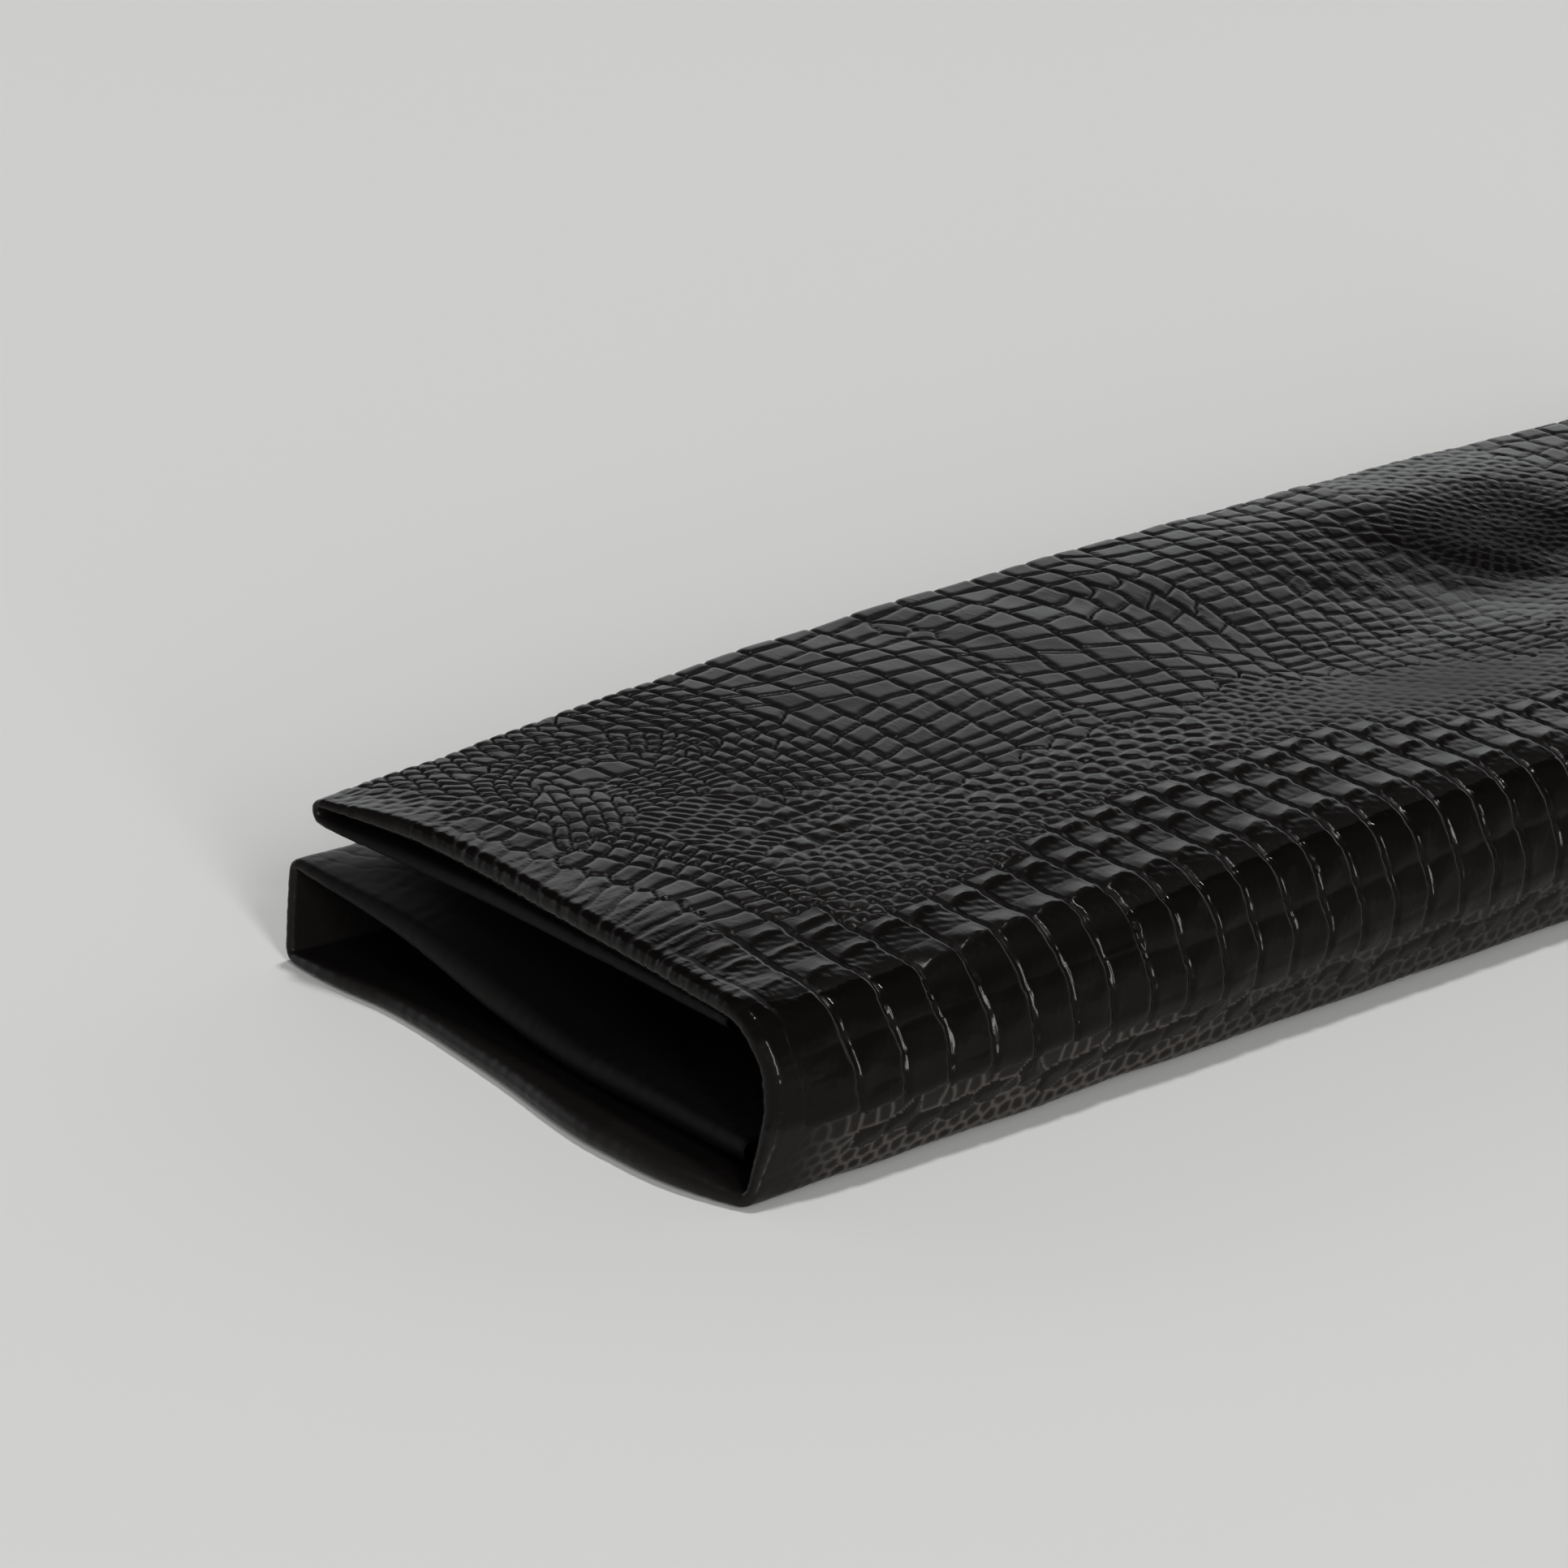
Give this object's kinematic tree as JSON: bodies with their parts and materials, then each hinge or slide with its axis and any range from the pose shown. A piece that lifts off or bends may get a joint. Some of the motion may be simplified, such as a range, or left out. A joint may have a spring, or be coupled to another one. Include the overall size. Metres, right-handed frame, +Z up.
{
  "type": "folded leather hide",
  "caption": "Black glazed leather hide with crocodile-scale embossing, folded in half, then gate-folded and folded again into a long flat packet that lies on a surface.",
  "frame": {"origin": "bottom centre of the bounding box, on the surface that the packet lies on", "axes": "+X along the packet from the rolled near end to the far end, +Y across from the spine to the open left side, +Z up"},
  "size_m": [0.8662, 0.3136, 0.083],
  "materials": {
    "leather": "glazed black, embossed with crocodile scales"
  },
  "bodies": {
    "root": {"hide": "leather"}
  },
  "joints": []
}
